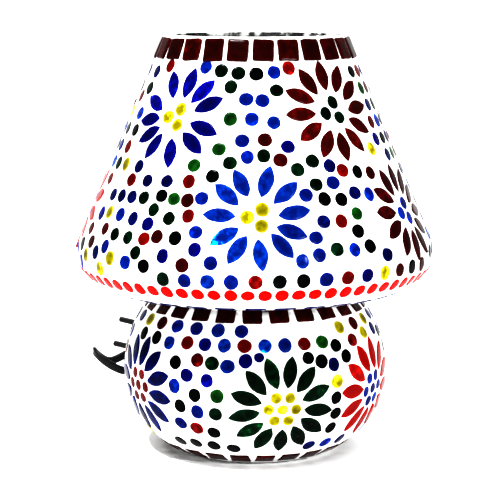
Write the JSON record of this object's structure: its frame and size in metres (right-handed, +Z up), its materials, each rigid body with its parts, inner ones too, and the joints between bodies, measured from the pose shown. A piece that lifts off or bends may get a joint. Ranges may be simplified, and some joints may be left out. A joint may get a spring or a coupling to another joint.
{
  "type": "mosaic glass table lamp",
  "caption": "Mushroom-shaped glass table lamp covered in floral glass mosaic set in white grout, open at the top, with a screw-in bulb on a plate in the waist and a flex with a two-pin plug.",
  "frame": {"origin": "centre of the foot's flat underside", "axes": "+Z up along the lamp's axis, -Y towards the side seen from the front, cord outlet towards +Y"},
  "size_m": [0.2236, 0.2374, 0.2595],
  "materials": {
    "clear_glass": "clear, polished",
    "grout": "matt",
    "navy_glass": "deep colour, glossy",
    "deep_blue_glass": "deep colour, glossy",
    "blue_glass": "deep colour, glossy",
    "bright_blue_glass": "deep colour, glossy",
    "dark_green_glass": "deep colour, glossy",
    "green_glass": "deep colour, glossy",
    "black_glass": "nearly black, glossy",
    "maroon_glass": "deep colour, glossy",
    "oxblood_glass": "deep colour, glossy",
    "red_glass": "deep colour, glossy",
    "olive_glass": "deep colour, glossy",
    "nickel_steel": "plated, bright",
    "holder_plastic": "moulded, smooth",
    "white_ceramic": "glazed",
    "brass": "bright",
    "frosted_bulb_glass": "frosted",
    "black_insulator": "smooth",
    "solder_metal": "dull",
    "black_flex": "soft, slightly glossy",
    "black_rubber": "moulded, satin",
    "dark_pins": "dark sleeves, metal tips"
  },
  "bodies": {
    "lamp": {"glass_shade": "clear_glass", "glass_base": "clear_glass", "grout_bed": "grout", "rim_tiles": "maroon_glass", "shoulder_tiles": "maroon_glass", "foot_tiles": "maroon_glass", "underside_tiles": "navy_glass", "edge_ovals": "red_glass", "petals_deep_blue": "deep_blue_glass", "petals_maroon": "maroon_glass", "petals_bright_blue": "bright_blue_glass", "petals_oxblood": "oxblood_glass", "petals_dark_green": "dark_green_glass", "petals_navy": "navy_glass", "petals_red": "red_glass", "dots_navy": "navy_glass", "dots_deep_blue": "deep_blue_glass", "dots_blue": "blue_glass", "dots_bright_blue": "bright_blue_glass", "dots_dark_green": "dark_green_glass", "dots_green": "green_glass", "dots_black": "black_glass", "dots_maroon": "maroon_glass", "dots_red": "red_glass", "dots_olive": "olive_glass", "holder_plate": "nickel_steel", "thread_tube": "nickel_steel", "lock_nut": "nickel_steel", "lock_washer": "nickel_steel", "holder_cap": "holder_plastic", "holder_skirt": "holder_plastic", "terminal_block": "white_ceramic", "terminal_screws": "brass", "holder_contact": "brass", "screw_shell": "brass", "flex_inside": "black_flex", "cord_grommet": "black_rubber", "cord_exit": "black_flex", "cord_hank": "black_flex", "cord_loop": "black_flex", "cord_to_plug": "black_flex", "cord_tie": "black_flex", "plug_body": "black_rubber", "plug_insert": "black_insulator", "plug_pins": "dark_pins"},
    "bulb": {"bulb_glass": "frosted_bulb_glass", "bulb_cap": "nickel_steel", "bulb_insulator": "black_insulator", "bulb_contact": "solder_metal", "bulb_stem": "clear_glass", "bulb_filament": "solder_metal"}
  },
  "joints": [
    {"name": "bulb_lift", "type": "slide", "parent": "lamp", "child": "bulb", "axis": [0, 0, 1], "range_m": [0, 0.2]}
  ]
}
